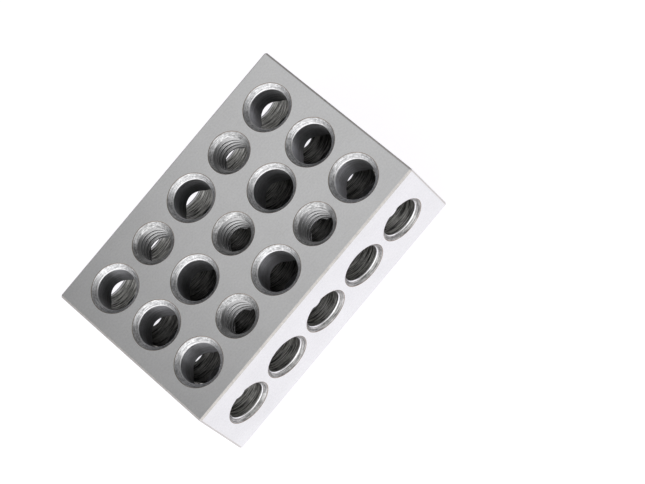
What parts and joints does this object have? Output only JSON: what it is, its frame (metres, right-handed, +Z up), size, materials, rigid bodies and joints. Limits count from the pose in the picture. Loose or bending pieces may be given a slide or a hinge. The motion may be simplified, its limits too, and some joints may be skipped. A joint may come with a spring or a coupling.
{
  "type": "machinist setup block",
  "caption": "Ground steel block, 1 by 2 by 3 inch, with a grid of countersunk plain and tapped bores that cross inside it; for spacing and clamping work.",
  "frame": {"origin": "middle of the 2 by 3 inch face that the block lies on", "axes": "+X along the 3 inch edge, +Y along the 2 inch edge, +Z up through the 1 inch thickness"},
  "size_m": [0.0762, 0.0508, 0.0254],
  "materials": {
    "hardened_steel": "surface-ground satin faces, bright turned countersinks, dark drilled bores"
  },
  "bodies": {
    "root": {"setup_block": "hardened_steel"}
  },
  "joints": []
}
